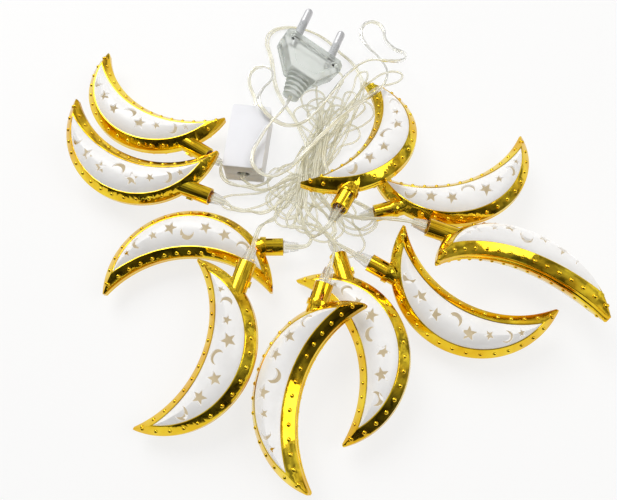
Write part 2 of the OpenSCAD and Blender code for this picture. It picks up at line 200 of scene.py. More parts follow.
class Effects:
    """Builds each shared effect once and places it in materials."""

    @staticmethod
    def group(effect: Effect) -> bpy.types.NodeTree:
        """The node group of an effect, built at its first use.

        Args:
            effect: Which effect is wanted.

        Returns:
            Its node group.
        """
        found = bpy.data.node_groups.get(effect.value)
        if found:
            return found
        made = bpy.data.node_groups.new(effect.value, "ShaderNodeTree")
        return Effects.mottle(made) if effect is Effect.MOTTLE else Effects.grain(made)

    @staticmethod
    def mottle(made: bpy.types.NodeTree) -> bpy.types.NodeTree:
        """Fills a group that drifts softly between two colours.

        Args:
            made: The empty group.

        Returns:
            The filled group.
        """
        for name, kind in (("Colour", "Color"), ("Tint", "Color"), ("Scale", "Float")):
            made.interface.new_socket(name, in_out="INPUT", socket_type=f"NodeSocket{kind}")
        made.interface.new_socket("Colour", in_out="OUTPUT", socket_type="NodeSocketColor")
        tree = Tree(made)
        given = tree.add("NodeGroupInput")
        out = tree.add("NodeGroupOutput")
        place = tree.add("ShaderNodeTexCoord")
        noise = tree.add("ShaderNodeTexNoise", Detail=3.0, Roughness=0.55)
        ramp = tree.add("ShaderNodeMapRange", From_Min=0.35, From_Max=0.65)
        tree.join(place.outputs["Object"], noise.inputs["Vector"])
        tree.join(given.outputs["Scale"], noise.inputs["Scale"])
        tree.join(noise.outputs["Fac"], ramp.inputs["Value"])
        mixed = tree.blend(ramp.outputs["Result"], given.outputs["Colour"], given.outputs["Tint"])
        tree.join(mixed, out.inputs["Colour"])
        return made

    @staticmethod
    def grain(made: bpy.types.NodeTree) -> bpy.types.NodeTree:
        """Fills a group with the fine unevenness of a moulded surface.

        Args:
            made: The empty group.

        Returns:
            The filled group.
        """
        for name in ("Scale", "Low Roughness", "High Roughness"):
            made.interface.new_socket(name, in_out="INPUT", socket_type="NodeSocketFloat")
        for name in ("Height", "Roughness"):
            made.interface.new_socket(name, in_out="OUTPUT", socket_type="NodeSocketFloat")
        tree = Tree(made)
        given = tree.add("NodeGroupInput")
        out = tree.add("NodeGroupOutput")
        place = tree.add("ShaderNodeTexCoord")
        noise = tree.add("ShaderNodeTexNoise", Detail=2.0, Roughness=0.5)
        span = tree.add("ShaderNodeMapRange", From_Min=0.3, From_Max=0.7)
        tree.join(place.outputs["Object"], noise.inputs["Vector"])
        tree.join(given.outputs["Scale"], noise.inputs["Scale"])
        tree.join(noise.outputs["Fac"], span.inputs["Value"])
        tree.join(given.outputs["Low Roughness"], span.inputs["To Min"])
        tree.join(given.outputs["High Roughness"], span.inputs["To Max"])
        tree.join(noise.outputs["Fac"], out.inputs["Height"])
        tree.join(span.outputs["Result"], out.inputs["Roughness"])
        return made

    @staticmethod
    def place(tree: Tree, effect: Effect, **values: object) -> bpy.types.Node:
        """Places an effect in a material with its own values.

        Args:
            tree: The material's nodes.
            effect: Which effect is placed.
            **values: Its input values.

        Returns:
            The group node.
        """
        node = tree.add("ShaderNodeGroup")
        node.node_tree = Effects.group(effect)
        tree.fill(node, **values)
        return node


@dataclass(frozen=True)
class Finish:
    """One surface finish: two colours that drift, a range of roughness and a fine unevenness.

    Attributes:
        name: The material's name.
        colour: The main colour.
        tint: The colour that it drifts towards.
        roughness: The lowest and highest roughness.
        metallic: 1 for metal.
        transmission: The share of light that passes through.
        ior: The index of refraction.
        subsurface: The share of light that scatters inside.
        glow: Painted light: an emission of the surface's own colour that stands in for light coming through
            from behind.
        edge: Painted shade: the colour towards the outline, standing in for the darker rim that clear
            plastic shows.
        edge_power: How closely that colour keeps to the outline.
        alpha: How solid the finish looks.
        drift: The scale of the drift between the colours.
        grain: The scale of the unevenness.
        relief: The depth of the unevenness in metres.
    """

    name: str
    colour: Colour
    tint: Colour
    roughness: Span
    metallic: float = 0.0
    transmission: float = 0.0
    ior: float = 1.5
    subsurface: float = 0.0
    glow: float = 0.0
    edge: Colour | None = None
    edge_power: float = 1.0
    alpha: float = 1.0
    drift: float = 90.0
    grain: float = 1500.0
    relief: float = 0.00002

    def material(self) -> bpy.types.Material:
        """The finish as a material, made at its first use.

        Returns:
            The material.
        """
        found = bpy.data.materials.get(self.name)
        if found:
            return found
        made = bpy.data.materials.new(self.name)
        made.use_nodes = True
        made.diffuse_color = (*self.colour, 1)
        tree = Tree(made.node_tree)
        shader = made.node_tree.nodes["Principled BSDF"]
        mottle = Effects.place(tree, Effect.MOTTLE, Colour=(*self.colour, 1), Tint=(*self.tint, 1),
                               Scale=self.drift)
        grain = Effects.place(tree, Effect.GRAIN, Scale=self.grain, Low_Roughness=self.roughness[0],
                              High_Roughness=self.roughness[1])
        # Painted shade towards the outline, for a finish with an edge colour.
        colour = self.with_painted_edge_shade(tree, mottle.outputs["Colour"])
        tree.join(colour, shader.inputs["Base Color"])
        tree.join(grain.outputs["Roughness"], shader.inputs["Roughness"])
        if self.relief:
            bump = tree.add("ShaderNodeBump", Strength=0.6, Distance=self.relief)
            tree.join(grain.outputs["Height"], bump.inputs["Height"])
            tree.join(bump.outputs["Normal"], shader.inputs["Normal"])
        # Painted light: a finish with a glow emits its own colour at that strength.
        if self.glow:
            tree.join(mottle.outputs["Colour"], shader.inputs["Emission Color"])
            tree.fill(shader, Emission_Strength=self.glow)
        tree.fill(shader, Metallic=self.metallic, Alpha=self.alpha, IOR=self.ior,
                  Transmission_Weight=self.transmission, Subsurface_Weight=self.subsurface,
                  Subsurface_Radius=(1.0, 0.9, 0.75), Subsurface_Scale=0.002)
        return made

    def with_painted_edge_shade(self, tree: Tree, colour: bpy.types.NodeSocket) -> bpy.types.NodeSocket:
        """Paints shade on a colour towards the outline, standing in for the darker rim that clear plastic
        shows.

        Args:
            tree: The material's nodes.
            colour: The colour where the surface faces the eye.

        Returns:
            The colour with its painted edge shade, or the same colour for a finish without one.
        """
        if not self.edge:
            return colour
        facing = tree.add("ShaderNodeLayerWeight", Blend=0.35)
        share = tree.maths("POWER", facing.outputs["Facing"], self.edge_power)
        return tree.blend(share, colour, self.edge)


GOLD = Finish("gold_plating", (0.92, 0.68, 0.04), (0.78, 0.45, 0.015), (0.06, 0.13), metallic=1.0,
              drift=70, grain=300, relief=0.00007)
# Painted light: the diffuser's glow lifts its shaded side towards an even white, standing in for light
# through the wall.
DIFFUSER = Finish("satin_white", (0.6, 0.594, 0.585), (0.57, 0.563, 0.552), (0.32, 0.42),
                  subsurface=0.2, glow=0.56, drift=120)
# Painted light: the inside's tan colour glows, standing in for the light that comes through the white walls
# into the cover.
INSIDE_PAINTED_GLOW = Finish("inside_painted_glow", (0.42, 0.37, 0.27), (0.34, 0.29, 0.2), (0.4, 0.5), glow=0.85, drift=160)
# Painted light and shade: the wire's small glow brightens it, and its dark edge colour is painted shade
# towards the outline.
CLEAR_WIRE = Finish("clear_insulation", (0.97, 0.95, 0.84), (0.93, 0.9, 0.74), (0.03, 0.08),
                    transmission=0.7, ior=1.46, glow=0.06, edge=(0.1, 0.09, 0.03), edge_power=1.4,
                    drift=200, relief=0)
# Painted shade: the edge colours of the holders and the plug darken them towards the outline.
CLEAR_HOLDER = Finish("holder_plastic", (0.9, 0.9, 0.88), (0.82, 0.82, 0.79), (0.03, 0.08),
                      transmission=0.97, ior=1.42, edge=(0.4, 0.4, 0.36), alpha=0.5, relief=0)
DIODE = Finish("diode_epoxy", (0.95, 0.93, 0.8), (0.9, 0.86, 0.66), (0.08, 0.15), transmission=0.6)
PLUG = Finish("frosted_plug", (0.95, 0.97, 0.94), (0.9, 0.93, 0.89), (0.14, 0.24), transmission=0.7,
              ior=1.4, edge=(0.72, 0.8, 0.75), drift=130, relief=0)
# Painted shade: near-black for the shade inside the plug's moulding holes.
HOLE_PAINTED_SHADE = Finish("hole_painted_shade", (0.02, 0.02, 0.02), (0.04, 0.04, 0.04), (0.5, 0.6))
PIN_METAL = Finish("nickel_pins", (0.68, 0.68, 0.69), (0.6, 0.6, 0.61), (0.42, 0.55), metallic=1.0,
                   relief=0)
SLEEVE = Finish("pin_sleeve", (0.74, 0.75, 0.76), (0.66, 0.68, 0.69), (0.25, 0.35), transmission=0.35)
BOX = Finish("white_box", (0.83, 0.83, 0.86), (0.81, 0.81, 0.84), (0.4, 0.5), grain=2600)
BOARD = Finish("solder_mask", (0.05, 0.26, 0.12), (0.04, 0.2, 0.1), (0.3, 0.4))
BOARD_PART = Finish("board_parts", (0.06, 0.06, 0.07), (0.1, 0.1, 0.11), (0.35, 0.5))


class Piece:
    """Ways to turn a bmesh or a carried-over node into a finished piece on a body."""

    @staticmethod
    def mesh(name: str, shape: bmesh.types.BMesh, finish: Finish, body: str, slot: str) -> bpy.types.Object:
        """Makes a shaded mesh piece from a bmesh and frees it.

        Args:
            name: The piece's name.
            shape: Its shape, in metres in the shared frame.
            finish: Its finish.
            body: The body that it rides on.
            slot: The record's material slot; not used.

        Returns:
            The piece.
        """
        data = bpy.data.meshes.new(name)
        for face in shape.faces:
            face.smooth = True
        shape.to_mesh(data)
        shape.free()
        data.set_sharp_from_angle(angle=SHADE_ANGLE)
        piece = put(name, data)
        data.materials.append(finish.material())
        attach(piece, body)
        return piece

    @staticmethod
    def dress(node: str, finish: Finish) -> None:
        """Gives a carried-over node its finish.

        Args:
            node: The node's name.
            finish: The finish.
        """
        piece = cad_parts[node]
        piece.data.materials.clear()
        piece.data.materials.append(finish.material())

    @staticmethod
    def eased(node: str, finish: Finish, body: str, slot: str, edge: float) -> bpy.types.Object:
        """Stands a copy with eased edges in for a carried-over node.

        Args:
            node: The node's name.
            finish: The finish of the copy.
            body: The body that it rides on.
            slot: The record's material slot.
            edge: How far an edge is eased, in millimetres.

        Returns:
            The copy.
        """
        shape = bmesh.new()
        shape.from_mesh(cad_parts[node].data)
        bmesh.ops.remove_doubles(shape, verts=shape.verts, dist=WELD_GAP)
        bmesh.ops.dissolve_limit(shape, angle_limit=FLAT_ANGLE, verts=shape.verts, edges=shape.edges)
        sharp = [e for e in shape.edges if e.is_manifold and e.calc_face_angle(0) > EASED_ANGLE]
        bmesh.ops.bevel(shape, geom=sharp, offset=edge * MM, affect="EDGES", segments=2, profile=0.5,
                        material=-1, clamp_overlap=True)
        piece = Piece.mesh(f"{node}_eased", shape, finish, body, slot)
        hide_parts(node)
        return piece


@dataclass
class Cord:
    """A free wire.

    Attributes:
        name: The piece's name.
        route: The points that it runs through, in millimetres.
        diameter: Its diameter in millimetres.
        stands_for: The nodes that it takes the place of.
        lay: How it lies.
        steps: The number of stretches between two points of the route.
        twin: Whether it is two strands side by side.
        twist: How far a twin lead turns to each side, in radians.
        twist_step: How far the wave of that turn moves on at each point, in radians.
        strand_radius: The radius of one strand of a twin lead, as a share of the diameter.
        strand_shift: How far each strand lies from the middle, as a share of the diameter.
        arc_points: The number of points on the outline of one strand.
    """

    name: str
    route: list[Point]
    diameter: float
    stands_for: tuple[str, ...] = ()
    # lay: How it lies; not used.
    lay: str = "loose"
    steps: int = 5
    twin: bool = False
    twist: float = 0.9
    twist_step: float = 0.6
    strand_radius: float = 0.275
    strand_shift: float = 0.225
    arc_points: int = 9

    def line(self) -> bpy.types.Object:
        """The bare smooth line of the wire.

        Returns:
            A curve of one open spline.
        """
        data = bpy.data.curves.new(self.name, "CURVE")
        data.dimensions = "3D"
        data.resolution_u = self.steps
        data.use_fill_caps = True
        spline = data.splines.new("BEZIER")
        spline.bezier_points.add(len(self.route) - 1)
        for k, (knot, point) in enumerate(zip(spline.bezier_points, self.route)):
            knot.co = row(point)
            knot.handle_left_type = knot.handle_right_type = "AUTO"
            knot.tilt = self.twist * math.sin(self.twist_step * k)
        piece = put(self.name, data)
        bpy.context.view_layer.update()
        return piece

    def section(self) -> bpy.types.Object:
        """The outline of a twin lead: two round strands side by side.

        Returns:
            A closed flat curve, for a sweep.
        """
        radius = self.strand_radius * self.diameter * MM
        shift = self.strand_shift * self.diameter * MM
        reach, count = math.acos(-shift / radius), self.arc_points
        data = bpy.data.curves.new("lead_section", "CURVE")
        outline = data.splines.new("POLY")
        outline.points.add(2 * count - 1)
        outline.use_cyclic_u = True
        for k, knot in enumerate(outline.points):
            side = 1 if k < count else -1
            a = reach * ((k % count) / (count / 2) - (count - 1) / count)
            knot.co = (side * (shift + radius * math.cos(a)), side * radius * math.sin(a), 0, 1)
        return put("lead_section", data)

    def swept(self, line: bpy.types.Object) -> tuple[bpy.types.Object, list[Point]]:
        """The twin lead as a mesh along a line, which it takes the place of.

        Args:
            line: The bare line.

        Returns:
            The mesh piece and the points that it follows.
        """
        bare = bpy.data.meshes.new_from_object(line.evaluated_get(bpy.context.evaluated_depsgraph_get()))
        path = [tuple(v.co) for v in bare.vertices]
        section = self.section()
        line.data.bevel_mode = "OBJECT"
        line.data.bevel_object = section
        bpy.context.view_layer.update()
        data = bpy.data.meshes.new_from_object(line.evaluated_get(bpy.context.evaluated_depsgraph_get()))
        for spare in (line, section):
            bpy.data.objects.remove(spare)
        for face in data.polygons:
            face.use_smooth = True
        return put(self.name, data), path

    def build(self) -> bpy.types.Object:
        """Returns:
            The finished wire.
        """
        piece = self.line()
        path = None
        if self.twin:
            piece, path = self.swept(piece)
        else:
            piece.data.bevel_depth = self.diameter * MM / 2
            piece.data.bevel_resolution = 2
        piece.data.materials.clear()
        piece.data.materials.append(CLEAR_WIRE.material())
        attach(piece, STRING)
        if self.stands_for:
            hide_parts(*self.stands_for)
        return piece


@dataclass(frozen=True)
class MoonPose:
    """Where a cover lies: the middle of its tip line, its turns, and whether it is turned over."""

    x: float
    y: float
    z: float
    heading: float
    pitch: float
    roll: float
    turned_over: bool = False

    def matrix(self) -> Matrix:
        """The pose in millimetres, before the heap is centred."""
        turns = (self.roll, self.pitch + 180 * self.turned_over, self.heading)
        turn = Euler([math.radians(a) for a in turns], "XYZ").to_matrix().to_4x4()
        return Matrix.Translation((self.x, self.y, self.z)) @ turn


POSES = (
    MoonPose(-68, 82, 9, 328, 1, -1), MoonPose(-72, 54, 18, 339, 3, 10),
    MoonPose(-50, -24, 7.5, 181, -1, 4, True), MoonPose(-57, -43, 11, 72, -7, -8),
    MoonPose(12, -66.5, 24, 252, 8, -27, True), MoonPose(3, -49.5, 5, 105, 4, -17),
    MoonPose(70, -13, 17, 330, 4, -13, True), MoonPose(82, -28, 26, 163, -7, 28),
    MoonPose(63, 44, 8, 13, -5, 8, True), MoonPose(11, 53, 13.5, 63, 10, 9, True),
)


@dataclass
class MoonCover:
    """One gold crescent cover: its own studs on both faces, and the finishes of its four mouldings.

    Sizes are in millimetres. The margin at the tips is in widths of the band, and the limit for faces
    that look inwards is a cosine.
    """

    number: int
    pose: MoonPose
    tip_chord: float = 70
    outer_bulge: float = 38
    inner_bulge: float = 17
    rim_height: float = 1.4
    band_width: float = 3.4
    band_rise: float = 3.8
    neck_offset: float = NECK_OFFSET
    neck_radius: float = 3.8
    stud_diameter: float = 1.9
    stud_sink: float = 0.45
    outer_studs: int = 19
    inner_studs: int = 15
    stud_sides: int = 10
    stud_rings: int = 6
    tip_margin: float = 1.6
    inward_limit: float = -0.02
    eased_edge: float = 0.18

    @property
    def body(self) -> str:
        """The body that the cover's pieces ride on."""
        return f"moon_{self.number:02d}"

    def edge(self, bulge: float) -> tuple[float, float]:
        """The circle of an edge.

        Args:
            bulge: The edge's bulge from the tip line.

        Returns:
            Its radius and the height of its centre above the tip line.
        """
        radius = ((self.tip_chord / 2) ** 2 + bulge ** 2) / (2 * bulge)
        return radius, radius - bulge

    def stud_places(self) -> list[Vector]:
        """The middles of the studs on one face, in the cover's own frame.

        Returns:
            The places in millimetres.
        """
        places = []
        rise = self.rim_height + self.band_rise / 2 - self.stud_sink
        for bulge, side, count in ((self.outer_bulge, -1, self.outer_studs),
                                   (self.inner_bulge, 1, self.inner_studs)):
            edge_radius, middle = self.edge(bulge)
            radius = edge_radius + side * self.band_width / 2
            end = math.atan2(self.tip_chord / 2, middle) - self.tip_margin * self.band_width / radius
            for k in range(count):
                turn = end * (2 * k / (count - 1) - 1)
                place = Vector((radius * math.sin(turn), middle - radius * math.cos(turn), rise))
                room = self.neck_radius + self.stud_diameter
                by_neck = side < 0 and place.x > 0 and abs(place.y + self.neck_offset) < room
                if not by_neck:
                    places.append(place)
        return places

    def studs(self) -> None:
        """Makes the round studs along both bands of both faces, as one piece."""
        shape = bmesh.new()
        pose = self.pose.matrix()
        for place in self.stud_places():
            for face in (1, -1):
                at = row(pose @ Vector((place.x, place.y, place.z * face)))
                bmesh.ops.create_uvsphere(shape, u_segments=self.stud_sides, v_segments=self.stud_rings,
                                          radius=self.stud_diameter * MM / 2,
                                          matrix=Matrix.Translation(at))
        Piece.mesh(f"studs_{self.number:02d}", shape, GOLD, self.body, "gold")

    def diffuser(self, node: str, outwards: Vector) -> None:
        """Dresses a diffuser: satin white outside with a painted glow that lifts its shade, and inside a
        tan painted glow that stands in for the light coming through the wall.

        Args:
            node: The diffuser's node.
            outwards: The way its dome faces.
        """
        Piece.dress(node, DIFFUSER)
        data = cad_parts[node].data
        data.materials.append(INSIDE_PAINTED_GLOW.material())
        # Faces that look inwards take the inside's painted glow.
        for face in data.polygons:
            face.material_index = int(face.normal.dot(outwards) < self.inward_limit)

    def build(self) -> None:
        """Makes the studs and dresses the four mouldings."""
        self.studs()
        up = self.pose.matrix().to_3x3() @ Vector((0, 0, 1))
        for face, outwards in (("front", up), ("back", -up)):
            Piece.eased(f"{face}_frame_{self.number:02d}", GOLD, self.body, "gold", self.eased_edge)
            self.diffuser(f"{face}_diffuser_{self.number:02d}", outwards)
        LOG.info("cover %d", self.number)


@dataclass(frozen=True)
class Spread:
    """How the loops lie at one end of the hank, each value as a range in millimetres."""

    reach: Span
    sway: Span
    height: Span
    radius: Span


@dataclass
class Hank:
    """The bundle of clear wire: one long wire in uneven loops, drawn in at the waist.

    Attributes:
        middle: The middle of the waist.
        turn: The turn in plan, in degrees.
        wire_diameter: The wire's diameter.
        folds: The number of runs out to an end and back.
        columns: The number of runs side by side at the waist.
        column_step: The distance between two of these.
        row_step: The distance between two layers.
        seed: The seed of the loops' own sizes.
        upper: How the loops lie at the upper end.
        lower: How the loops lie at the lower end.
        waist_spread: Where along the hank the runs cross its waist.
        out_share: A point on a run's way out, as a share of its reach.
        out_sway: The share of its sway there.
        out_stray: How far it strays there.
        back_share: A point on a run's way back, as a share of its reach.
        back_sway: The share of its sway there.
        back_stray: How far it strays there.
        plug_folds: The two runs that go round the plug.
        left_fold: The run that goes out to the left.
        tip_fold: The run that goes over the tip of a cover.
        small_fold: The run with a small loop beside that tip.
        twin_gap: The distance between the two runs round the plug.
    """

    middle: Point = (3, 44, 0)
    turn: float = 62
    wire_diameter: float = 1.0
    folds: int = 34
    columns: int = 7
    column_step: float = 2.0
    row_step: float = 1.2
    seed: int = 11
    upper: Spread = Spread((24, 52), (-9, 22), (1.2, 6), (3, 7))
    lower: Spread = Spread((20, 38), (-36, 6), (1.2, 3.2), (4, 10))
    waist_spread: Span = (-4, 4)
    out_share: float = 0.45
    out_sway: float = 0.4
    out_stray: Span = (-1, 1)
    back_share: float = 0.4
    back_sway: float = 0.5
    back_stray: Span = (-2, 2)
    plug_folds: tuple[int, int] = (8, 22)
    left_fold: int = 15
    tip_fold: int = 16
    small_fold: int = 26
    twin_gap: float = 1.3

    # The long loop behind the plug, and the loops to the left, over a cover's tip and beside it
    PLUG_LOOP = (
        (24, 76, 5), (26, 86, 4), (25, 93, 3), (22, 100, 2.5), (15, 108.5, 2), (8, 117, 1.5),
        (-1, 123, 1.2), (-7, 125, 1), (-14, 125, 1), (-19.5, 122.5, 1), (-22, 117, 1.2),
        (-19.5, 104, 1.5), (-17, 87, 2.5), (-13, 76, 4), (-6, 63, 5),
    )
    LEFT_LOOP = (
        (-11, 33, 4), (-20, 27.5, 3), (-30, 26.5, 2), (-37, 26, 1.4), (-40.5, 24, 1.2), (-39, 21, 1.2),
        (-34, 19, 1.2), (-27, 19.5, 1.5), (-19, 22, 2.5), (-10, 30, 4),
    )
    TIP_LOOP = (
        (20, 70, 8), (25, 77, 11.5), (30.5, 80.5, 15), (36, 83.5, 16), (40.5, 83, 17.6), (43.5, 79.8, 19.2),
        (42, 76, 20), (38, 74, 20), (32, 74, 17.6), (25, 71.5, 12), (18, 66, 8),
    )
    SMALL_LOOP = (
        (22, 74, 9), (26.5, 80, 12.4), (28.5, 86, 11), (27.5, 90, 9), (24, 88.5, 8.5), (22, 82, 8),
        (17, 71, 7),
    )
    # Angles of the points round the end of a loop, in degrees
    LOOP_ANGLES = (-110, -60, 0, 60, 110)

    @property
    def axis(self) -> Point:
        """The way the hank lies."""
        a = math.radians(self.turn)
        return (math.cos(a), math.sin(a), 0)

    def place(self, u: float, v: float, z: float) -> Point:
        """A point of the hank in the heap.

        Args:
            u: How far along the hank.
            v: How far to its side.
            z: How high.

        Returns:
            The point in millimetres.
        """
        x, y, _ = self.middle
        ax, ay, _ = self.axis
        return (x + u * ax - v * ay, y + u * ay + v * ax, z)

    def fold(self, spread: Spread, end: int, waist: Point, draw: random.Random) -> list[Point]:
        """One run out to an end, round its loop and back.

        Args:
            spread: How the loops lie at that end.
            end: 1 for the upper end, -1 for the lower.
            waist: Side and height where the run leaves the waist.
            draw: The seeded source of the loop's own sizes.

        Returns:
            The points, in millimetres.
        """
        reach, sway = draw.uniform(*spread.reach), draw.uniform(*spread.sway)
        height, radius = draw.uniform(*spread.height), draw.uniform(*spread.radius)
        side = draw.choice((-1, 1))
        _, v, z = waist
        half_way = (z + height) / 2
        out = (1 - self.out_sway) * v + self.out_sway * sway + draw.uniform(*self.out_stray)
        points = [self.place(end * self.out_share * reach, out, half_way)]
        for angle in self.LOOP_ANGLES:
            a = math.radians(angle)
            points.append(self.place(end * (reach - radius + radius * math.cos(a)),
                                     sway + side * radius * math.sin(a), height))
        back = self.back_sway * sway + draw.uniform(*self.back_stray)
        points.append(self.place(end * self.back_share * reach, back, half_way))
        return points

    def around_plug(self, strand: int) -> list[Point]:
        """The long loop that lies round the back of the plug.

        Args:
            strand: Which of its two strands.

        Returns:
            The points, in millimetres.
        """
        shift = self.twin_gap * strand
        return [(x + shift, y - shift / 2, z) for x, y, z in self.PLUG_LOOP]

    def cord(self) -> Cord:
        """The whole bundle as one wire."""
        draw = random.Random(self.seed)
        strays = {self.left_fold: self.LEFT_LOOP, self.tip_fold: self.TIP_LOOP,
                  self.small_fold: self.SMALL_LOOP}
        strays |= {k: self.around_plug(strand) for strand, k in enumerate(self.plug_folds)}
        rows = self.folds // self.columns + 1
        cells = [(c, r) for r in range(rows) for c in range(self.columns)]
        draw.shuffle(cells)
        route = []
        for k, (c, r) in enumerate(cells[:self.folds]):
            waist = (draw.uniform(*self.waist_spread), (c - (self.columns - 1) / 2) * self.column_step,
                     self.wire_diameter + r * self.row_step)
            route.append(self.place(*waist))
            if k in strays:
                route += strays[k]
            else:
                end = -1 if k % 2 else 1
                route += self.fold(self.upper if end > 0 else self.lower, end, waist, draw)
        return Cord("string_hank_wire", route, self.wire_diameter, ("string_hank",), lay="coiled", steps=4)


@dataclass
class Wiring:
    """All free wires: the mains lead, the lead to the hank, the hank and the wires to the lamps.

    Attributes:
        lead_diameter: The mains lead's diameter.
        wire_diameter: The diameter of every other strand.
        tail_reach: The reach of a lamp holder's tail.
        neck_offset: The distance of a neck's axis from its cover's tip line.
        plug_place: The plug's place.
        plug_turn: The plug's turn in plan, in degrees.
        plug_reach: The reach of the plug's relief from that place.
        box_place: The driver box's place.
        box_turn: The box's turn in plan, in degrees.
        seam_height: The height at which the leads meet the board.
        board_half: Half of the board's length.
        strand_gap: The distance of a strand from the middle of its pair.
        strand_sway: How far a second strand strays from the first.
        lead_offset: The shift of the box lead's strands, in gaps.
        lamp_phase: The turn of that straying from lamp to lamp, in radians.
        knot_phase: The turn of it from point to point, in radians.
        tuck: How far a lamp's wire runs on along the hank.
        tuck_step: The distance between two such wires.
        tuck_rise: How far a wire rises on its way there.
        tuck_height: Its height in the hank.
        end_run: The length of its last stretch.
        end_step: The distance between two wires' ends.
        end_height: The height of a wire's end.
        hank: The bundle itself.
    """

    lead_diameter: float = 2.0
    wire_diameter: float = 1.0
    tail_reach: float = 46
    neck_offset: float = NECK_OFFSET
    plug_place: Point = PLUG_PLACE
    plug_turn: float = PLUG_TURN
    plug_reach: float = 29
    box_place: Point = (-28, 51, 0)
    box_turn: float = -6
    seam_height: float = 6.5
    board_half: float = 13.9
    strand_gap: float = 0.55
    strand_sway: float = 1.0
    lead_offset: float = 1.5
    lamp_phase: float = 2.1
    knot_phase: float = 1.7
    tuck: float = 22
    tuck_step: float = 0.9
    tuck_rise: float = 0.4
    tuck_height: float = 6.5
    end_run: float = 8
    end_step: float = 0.7
    end_height: float = 4.5
    hank: Hank = field(default_factory=Hank)

    # Points of the mains lead between the plug and the box
    MAINS = (
        (-12, 62, 17), (-17, 55, 17.5), (-22, 47, 16), (-25, 40, 15), (-23.5, 33, 15), (-17.5, 30, 13.5),
        (-11, 33.5, 11), (-3, 43, 9), (8, 56, 9), (18, 65, 11), (27, 69, 16), (34, 73, 20), (36.5, 80, 20),
        (34, 91, 17), (29, 102, 13), (26.2, 109, 12), (26.6, 114.2, 12), (29.8, 117.8, 12),
        (34.4, 117.4, 12), (37.2, 113.4, 12), (37.8, 107, 12.5), (41, 98, 16), (45.5, 91, 20),
        (43, 85, 23), (36, 84, 24), (28, 86, 22), (19, 83, 17), (12, 76, 13), (4, 66, 11),
        (-3, 59.5, 10.5), (-10, 57.5, 11.5), (-15.5, 58.5, 14), (-20, 62, 16), (-23, 68, 16),
        (-21.5, 76, 14), (-18, 82.5, 12), (-17.4, 87.8, 10.5), (-19.6, 91.8, 9.5), (-23.6, 93.4, 8.5),
        (-27.4, 91.4, 8), (-29, 86.4, 7.5),
    )
    # Steps before the board at which the mains lead runs straight in
    ENTRY_STEPS = (9, 6, 3, 0)
    # Steps after the board at which the box lead runs straight out
    EXIT_STEPS = (0, 2, 5)
    # Points of the box lead, and where it ends in the hank
    BOX_OUT = ((-28.5, 31.5, 6), (-25, 29.5, 5), (-20, 31, 4), (-16, 35.5, 2.8), (-11, 41.5, 1.6))
    BOX_END = ((-7.5, 43.5, 1.2), (-4.9, 48.2, 1), (-2.5, 52.7, 1))
    # Steps along a lamp holder's tail at which its wires run straight
    TAIL_STEPS = (-6, 0, 1)
    # Points of each lamp's wires between its holder and the hank
    DROPS = (
        ((-39.6, 35.6, 8.4), (-37.6, 31.6, 8), (-33, 28.6, 8), (-27, 27, 8), (-20.4, 25.6, 7.7)),
        ((-32, 15.5, 11), (-26, 15, 9), (-19.7, 14.3, 7.7)),
        ((-0.5, -0.5, 8.2), (0.8, 3.5, 8), (-3, 7.5, 8), (-9.3, 9.1, 7.7)),
        ((-20.5, 1, 19), (-18, 7, 14.5), (-15.5, 11, 10), (-13.4, 14.2, 7.7)),
        ((10.5, -9, 20.5), (9.5, -3, 17.5), (6, 3, 13.5), (1.5, 8, 10), (-4.5, 11, 7.7)),
        ((11, 6, 8), (8.5, 12, 8), (4.5, 18, 8), (0.8, 24, 7.7)),
        ((13.5, -4.5, 15.5), (9, 1, 13.5), (4.5, 8, 10.5), (-1.3, 16.2, 7.7)),
        ((36, 6, 21), (29, 8, 16.5), (22, 9.5, 12.5), (14, 13, 10), (7, 21, 8.8), (3, 33.1, 7.7)),
        ((18.5, 13.2, 7.4), (15, 16.5, 7.7), (12.5, 23, 7.8), (9.5, 33, 7.8), (6.6, 42.1, 7.7)),
        ((6.5, -1, 24), (3, -1.5, 20), (-1, 3, 15), (-3, 9, 11.5), (-3, 14, 9.4), (-5.4, 19.4, 7.7)),
    )
    # The lamp whose first strand stands for a node of drop wires
    STANDS_FOR = {1: "drop_wires_left", 5: "drop_wires_front", 7: "drop_wires_right"}

    def mains_lead(self) -> Cord:
        """The twin lead from the plug's relief to the board in the box."""
        back, inwards = ahead(self.plug_turn), ahead(self.box_turn)
        start = Vector(self.plug_place) + self.plug_reach * back
        stop = Vector(self.box_place) + Vector((0, 0, self.seam_height)) - self.board_half * inwards
        route = [start, start + self.lead_diameter * back, *self.MAINS]
        route += [stop - step * inwards for step in self.ENTRY_STEPS]
        return Cord("mains_lead_wire", route, self.lead_diameter, ("mains_lead",), twin=True)

    def box_lead(self, strand: int) -> Cord:
        """One strand from the board to the bundle.

        Args:
            strand: 0 or 1.

        Returns:
            The wire.
        """
        out = ahead(self.box_turn)
        across = Vector((-out.y, out.x, 0)) * self.strand_gap * (2 * strand - 1)
        start = Vector(self.box_place) + Vector((0, 0, self.seam_height)) + self.board_half * out + across
        route = [start + step * out for step in self.EXIT_STEPS]
        route += [Vector(p) + across * (self.lead_offset - 2 * strand) for p in self.BOX_OUT]
        route += self.BOX_END
        stands_for = () if strand else ("box_lead",)
        return Cord(f"box_lead_wire_{strand + 1}", route, self.wire_diameter, stands_for)

